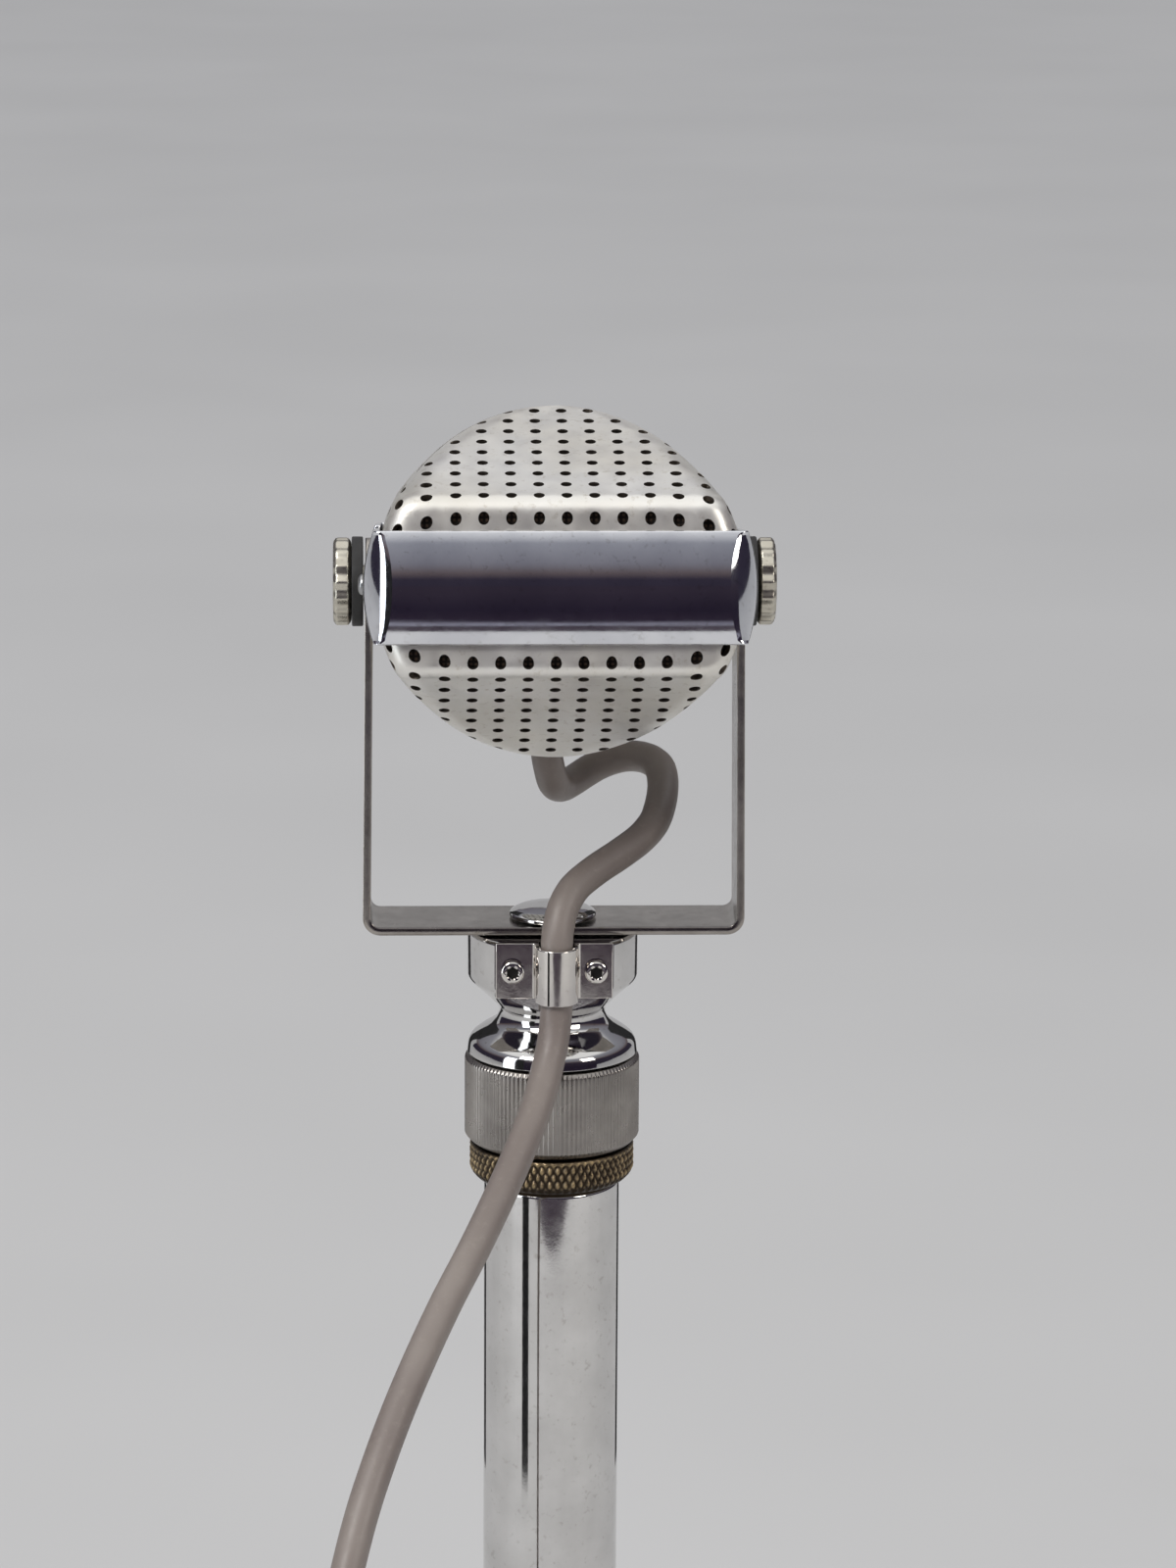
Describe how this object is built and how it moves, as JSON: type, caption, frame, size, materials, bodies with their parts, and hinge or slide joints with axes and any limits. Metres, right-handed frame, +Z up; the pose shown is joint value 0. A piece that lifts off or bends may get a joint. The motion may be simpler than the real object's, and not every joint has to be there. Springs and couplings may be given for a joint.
{
  "type": "desktop microphone stand with microphone",
  "caption": "Small vintage ribbon microphone with a perforated wedge head, tilting in a strap yoke on a swivel fitting, chromed tube and round cast desk base, with its clipped cable and plug.",
  "frame": {"origin": "centre of the base pad's underside, on the table", "axes": "+Z up along the stand's tube, -Y the way the microphone's front faces, +X to the right seen from the front"},
  "size_m": [0.15, 0.2492, 0.3271],
  "materials": {
    "enamel": "black wrinkle enamel on cast iron",
    "felt": "dark green felt",
    "chrome": "bright chrome plate with fine scratches",
    "satin": "dull nickel-chrome, finely knurled",
    "nickel": "warm nickel plate",
    "brass": "tarnished brass with a diamond knurl",
    "screen": "pale warm silver, satin, perforated",
    "band": "bright chrome plate, crowned",
    "gauze": "dark brown silk gauze",
    "steel": "plain steel",
    "rubber": "black rubber",
    "cord": "mauve grey PVC, slightly glossy",
    "tie": "black hook-and-loop tape",
    "magnet": "bare cast alnico",
    "board": "brown phenolic board",
    "copper": "enamelled copper wire over laminations",
    "foil": "corrugated foil",
    "plug": "nickel plate"
  },
  "bodies": {
    "stand": {"base_casting": "enamel", "base_pad": "felt", "base_washer": "steel", "base_nut": "steel", "tube_collar": "chrome", "stand_tube": "chrome", "cord_run": "cord", "cord_tail": "cord", "cord_coil": "cord", "coil_tie": "tie", "plug_sleeve": "plug", "plug_contact": "plug"},
    "lock_ring": {"lock_ring": "brass"},
    "coupling": {"coupling_sleeve": "satin"},
    "mount": {"swivel_body": "chrome", "retaining_ring": "steel", "thrust_washer": "board", "cable_clip": "chrome", "clip_screw_left": "steel", "clip_screw_right": "steel", "yoke": "chrome", "yoke_screw": "chrome", "friction_washer_left": "rubber", "friction_washer_right": "rubber", "cord_loop": "cord"},
    "head": {"carrier_ring": "satin", "front_screen": "screen", "rear_screen": "screen", "front_gauze": "gauze", "rear_gauze": "gauze", "pivot_boss_left": "steel", "pivot_boss_right": "steel", "cable_grommet": "rubber", "front_band": "band", "rear_band": "band", "front_band_screw_left": "steel", "front_band_screw_right": "steel", "rear_band_screw_left": "steel", "rear_band_screw_right": "steel", "magnet_left": "magnet", "magnet_right": "magnet", "pole_piece_left": "steel", "pole_piece_right": "steel", "motor_plate": "steel", "ribbon": "foil", "ribbon_clamp_top": "board", "ribbon_clamp_bottom": "board", "transformer": "copper", "terminal_strip": "board"},
    "knob_left": {"thumb_screw_left": "nickel"},
    "knob_right": {"thumb_screw_right": "nickel"}
  },
  "joints": [
    {"name": "lock_ring_turn", "type": "hinge", "parent": "stand", "child": "lock_ring", "pos_m": [0, 0, 0.2163], "axis": [0, 0, 1], "range_deg": [-180, 0]},
    {"name": "coupling_turn", "type": "hinge", "parent": "stand", "child": "coupling", "pos_m": [0, 0, 0.2255], "axis": [0, 0, 1], "range_deg": [0, 180]},
    {"name": "pan", "type": "hinge", "parent": "stand", "child": "mount", "pos_m": [0, 0, 0.242], "axis": [0, 0, 1], "range_deg": [-60, 60], "deforming": ["cord_run"]},
    {"name": "tilt", "type": "hinge", "parent": "mount", "child": "head", "pos_m": [0, 0, 0.302], "axis": [1, 0, 0], "range_deg": [-22, 40], "deforming": ["cord_loop"]},
    {"name": "knob_left_turn", "type": "hinge", "parent": "head", "child": "knob_left", "pos_m": [-0.0302, 0, 0.302], "axis": [-1, 0, 0], "range_deg": [0, 180]},
    {"name": "knob_right_turn", "type": "hinge", "parent": "head", "child": "knob_right", "pos_m": [0.0302, 0, 0.302], "axis": [1, 0, 0], "range_deg": [0, 180]}
  ]
}
